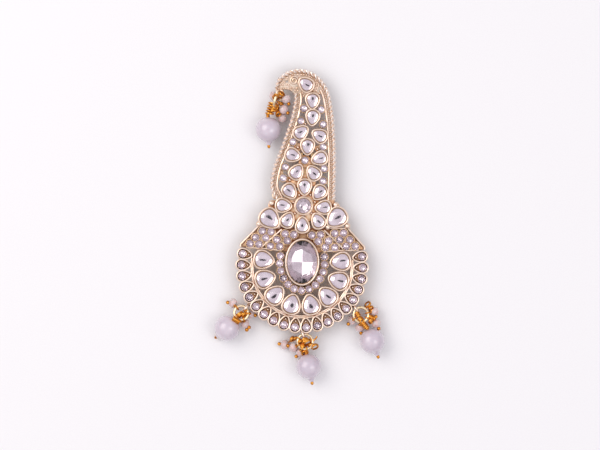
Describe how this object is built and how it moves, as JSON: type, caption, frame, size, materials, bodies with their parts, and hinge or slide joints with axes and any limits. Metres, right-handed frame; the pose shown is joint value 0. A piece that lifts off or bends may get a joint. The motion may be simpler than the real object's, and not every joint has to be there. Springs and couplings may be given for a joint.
{
  "type": "turban brooch",
  "caption": "Kalgi turban brooch: round medallion, flower and curved plume of pierced pale gold set with pear crystals, pave and a large oval, with four pearl drops; rests on its back.",
  "frame": {"origin": "under the middle of the whole brooch, on the surface it lies on", "axes": "+Y up the plume, +X to its right as seen from the front, +Z out of the front"},
  "size_m": [0.0528, 0.098, 0.0081],
  "materials": {
    "champagne_gold": "polished casting, pale champagne gold plate, browned in its recesses",
    "finding_gold": "satin pale gold plate",
    "jump_ring_gold": "polished pale gold wire",
    "orange_gold": "polished orange-gold wire",
    "kundan_crystal": "foil-backed clear crystal, flat cut",
    "cut_crystal": "foil-backed faceted clear crystal",
    "pearl_nacre": "lavender-white pearl coat, soft lustre",
    "pink_glass": "milky pink-white glass, glossy"
  },
  "bodies": {
    "root": {"medallion_pear_1": "kundan_crystal", "medallion_pear_2": "kundan_crystal", "medallion_pear_3": "kundan_crystal", "medallion_pear_4": "kundan_crystal", "medallion_pear_5": "kundan_crystal", "medallion_pear_6": "kundan_crystal", "medallion_pear_7": "kundan_crystal", "medallion_pear_8": "kundan_crystal", "shoulder_pear_right": "kundan_crystal", "shoulder_pear_left": "kundan_crystal", "flower_pear_1": "kundan_crystal", "flower_pear_2": "kundan_crystal", "flower_pear_3": "kundan_crystal", "flower_pear_4": "kundan_crystal", "flower_pear_5": "kundan_crystal", "flower_pear_6": "kundan_crystal", "flower_pear_7": "kundan_crystal", "flower_pear_8": "kundan_crystal", "plume_pear_1": "kundan_crystal", "plume_pear_2": "kundan_crystal", "plume_pear_3": "kundan_crystal", "plume_pear_4": "kundan_crystal", "plume_pear_5": "kundan_crystal", "plume_pear_6": "kundan_crystal", "plume_pear_7": "kundan_crystal", "plume_pear_8": "kundan_crystal", "plume_pear_9": "kundan_crystal", "plume_pear_10": "kundan_crystal", "oval_stone": "cut_crystal", "round_stone": "cut_crystal", "drop_top_ring": "jump_ring_gold", "drop_top_pearl": "pearl_nacre", "drop_top_head_pin": "orange_gold", "drop_top_bead_1": "pink_glass", "drop_top_bead_2": "pink_glass", "drop_top_bead_3": "pink_glass", "drop_top_bead_4": "pink_glass", "drop_left_ring": "jump_ring_gold", "drop_left_pearl": "pearl_nacre", "drop_left_head_pin": "orange_gold", "drop_left_bead_1": "pink_glass", "drop_left_bead_2": "pink_glass", "drop_left_bead_3": "pink_glass", "drop_bottom_ring": "jump_ring_gold", "drop_bottom_pearl": "pearl_nacre", "drop_bottom_head_pin": "orange_gold", "drop_bottom_bead_1": "pink_glass", "drop_bottom_bead_2": "pink_glass", "drop_bottom_bead_3": "pink_glass", "drop_right_ring": "jump_ring_gold", "drop_right_pearl": "pearl_nacre", "drop_right_head_pin": "orange_gold", "drop_right_bead_1": "pink_glass", "drop_right_bead_2": "pink_glass", "drop_right_bead_3": "pink_glass", "drop_right_bead_4": "pink_glass", "frame": "champagne_gold", "pin_clasp": "finding_gold"}
  },
  "joints": []
}
